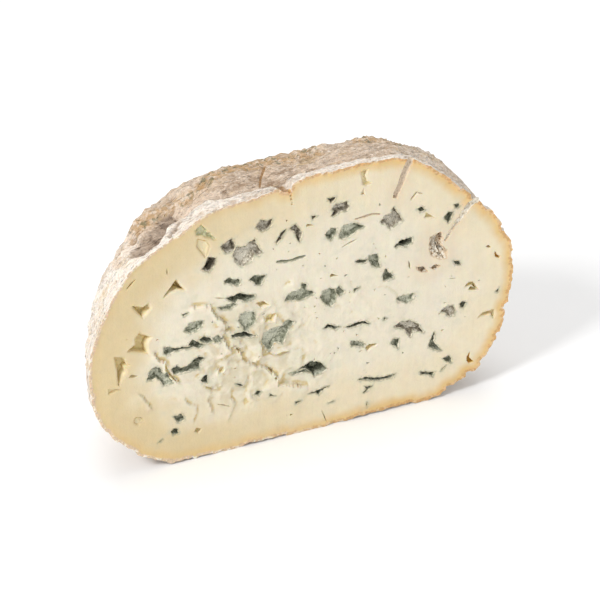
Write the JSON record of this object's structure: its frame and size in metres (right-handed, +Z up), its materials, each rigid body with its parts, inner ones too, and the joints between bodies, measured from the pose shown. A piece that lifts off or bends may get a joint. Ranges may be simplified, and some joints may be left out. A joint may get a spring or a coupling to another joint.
{
  "type": "blue cheese wedge",
  "caption": "Chunk of blue cheese cut off a round wheel, with a flat cut face full of mouldy pockets, a wrinkled pale rind behind and a flat base to stand on.",
  "frame": {"origin": "middle of the bounding box's base", "axes": "+X along the long way of the cut face, -Y out of the cut face, +Z up from the flat base"},
  "size_m": [0.22, 0.0898, 0.1407],
  "materials": {
    "paste": "moist, softly waxy cream-coloured paste"
  },
  "bodies": {
    "root": {"cheese": "paste"}
  },
  "joints": []
}
